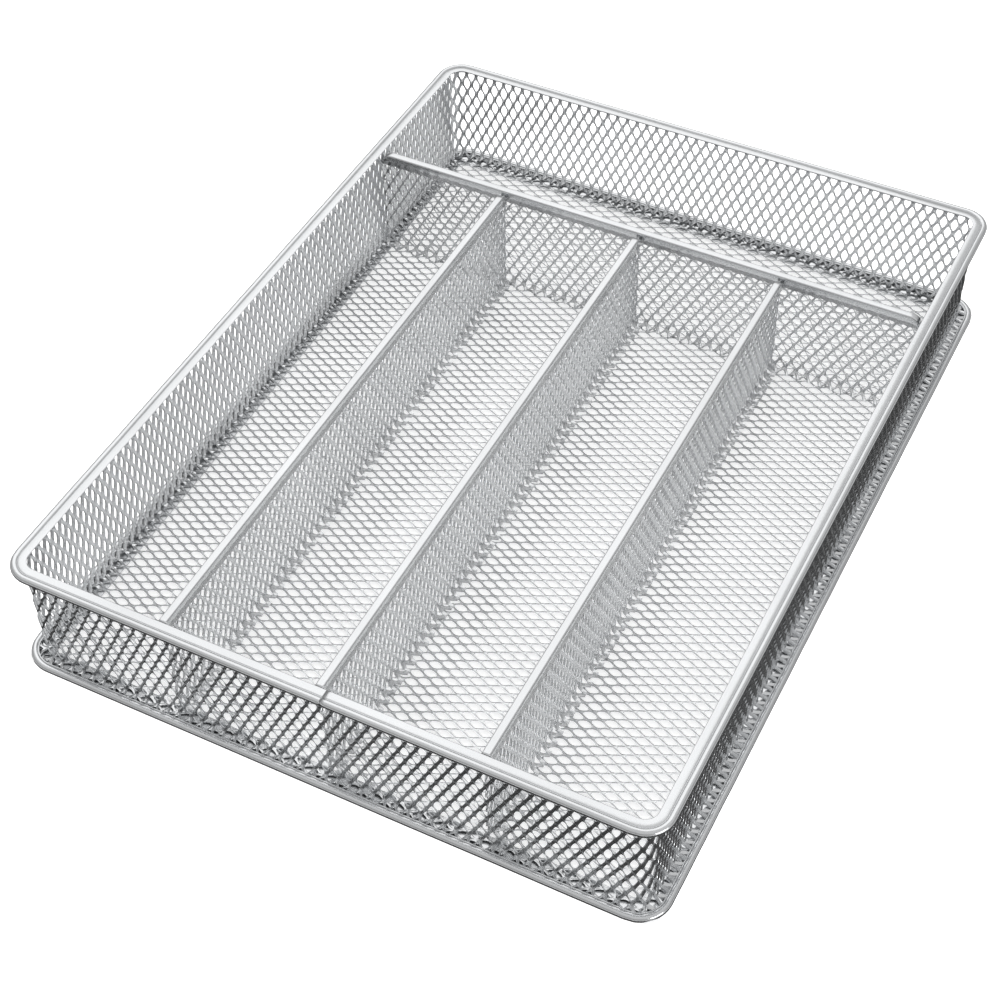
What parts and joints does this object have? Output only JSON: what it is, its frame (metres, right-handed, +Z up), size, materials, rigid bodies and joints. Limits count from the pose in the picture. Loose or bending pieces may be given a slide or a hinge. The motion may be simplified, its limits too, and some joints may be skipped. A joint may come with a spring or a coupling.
{
  "type": "mesh drawer organizer insert",
  "caption": "Open steel-mesh drawer organizer insert with long equal bays at the front and one wide bay at the back, rolled top rim and folded base ring.",
  "frame": {"origin": "middle of the footprint, on the resting face of the base ring", "axes": "+Z up, +X along the short side to the right seen from the front, +Y from the front wall (long bays) to the back wall (wide bay)"},
  "size_m": [0.2374, 0.3174, 0.0475],
  "materials": {
    "strip_paint": "satin silver powder coat on folded steel strip",
    "mesh_paint": "satin silver powder coat on expanded steel mesh"
  },
  "bodies": {
    "root": {"top_rim": "strip_paint", "base_ring": "strip_paint", "divider_left_cap": "strip_paint", "divider_middle_cap": "strip_paint", "divider_right_cap": "strip_paint", "cross_divider_cap": "strip_paint", "wall_mesh": "mesh_paint", "floor_mesh": "mesh_paint", "divider_left_mesh": "mesh_paint", "divider_middle_mesh": "mesh_paint", "divider_right_mesh": "mesh_paint", "cross_divider_mesh": "mesh_paint"}
  },
  "joints": []
}
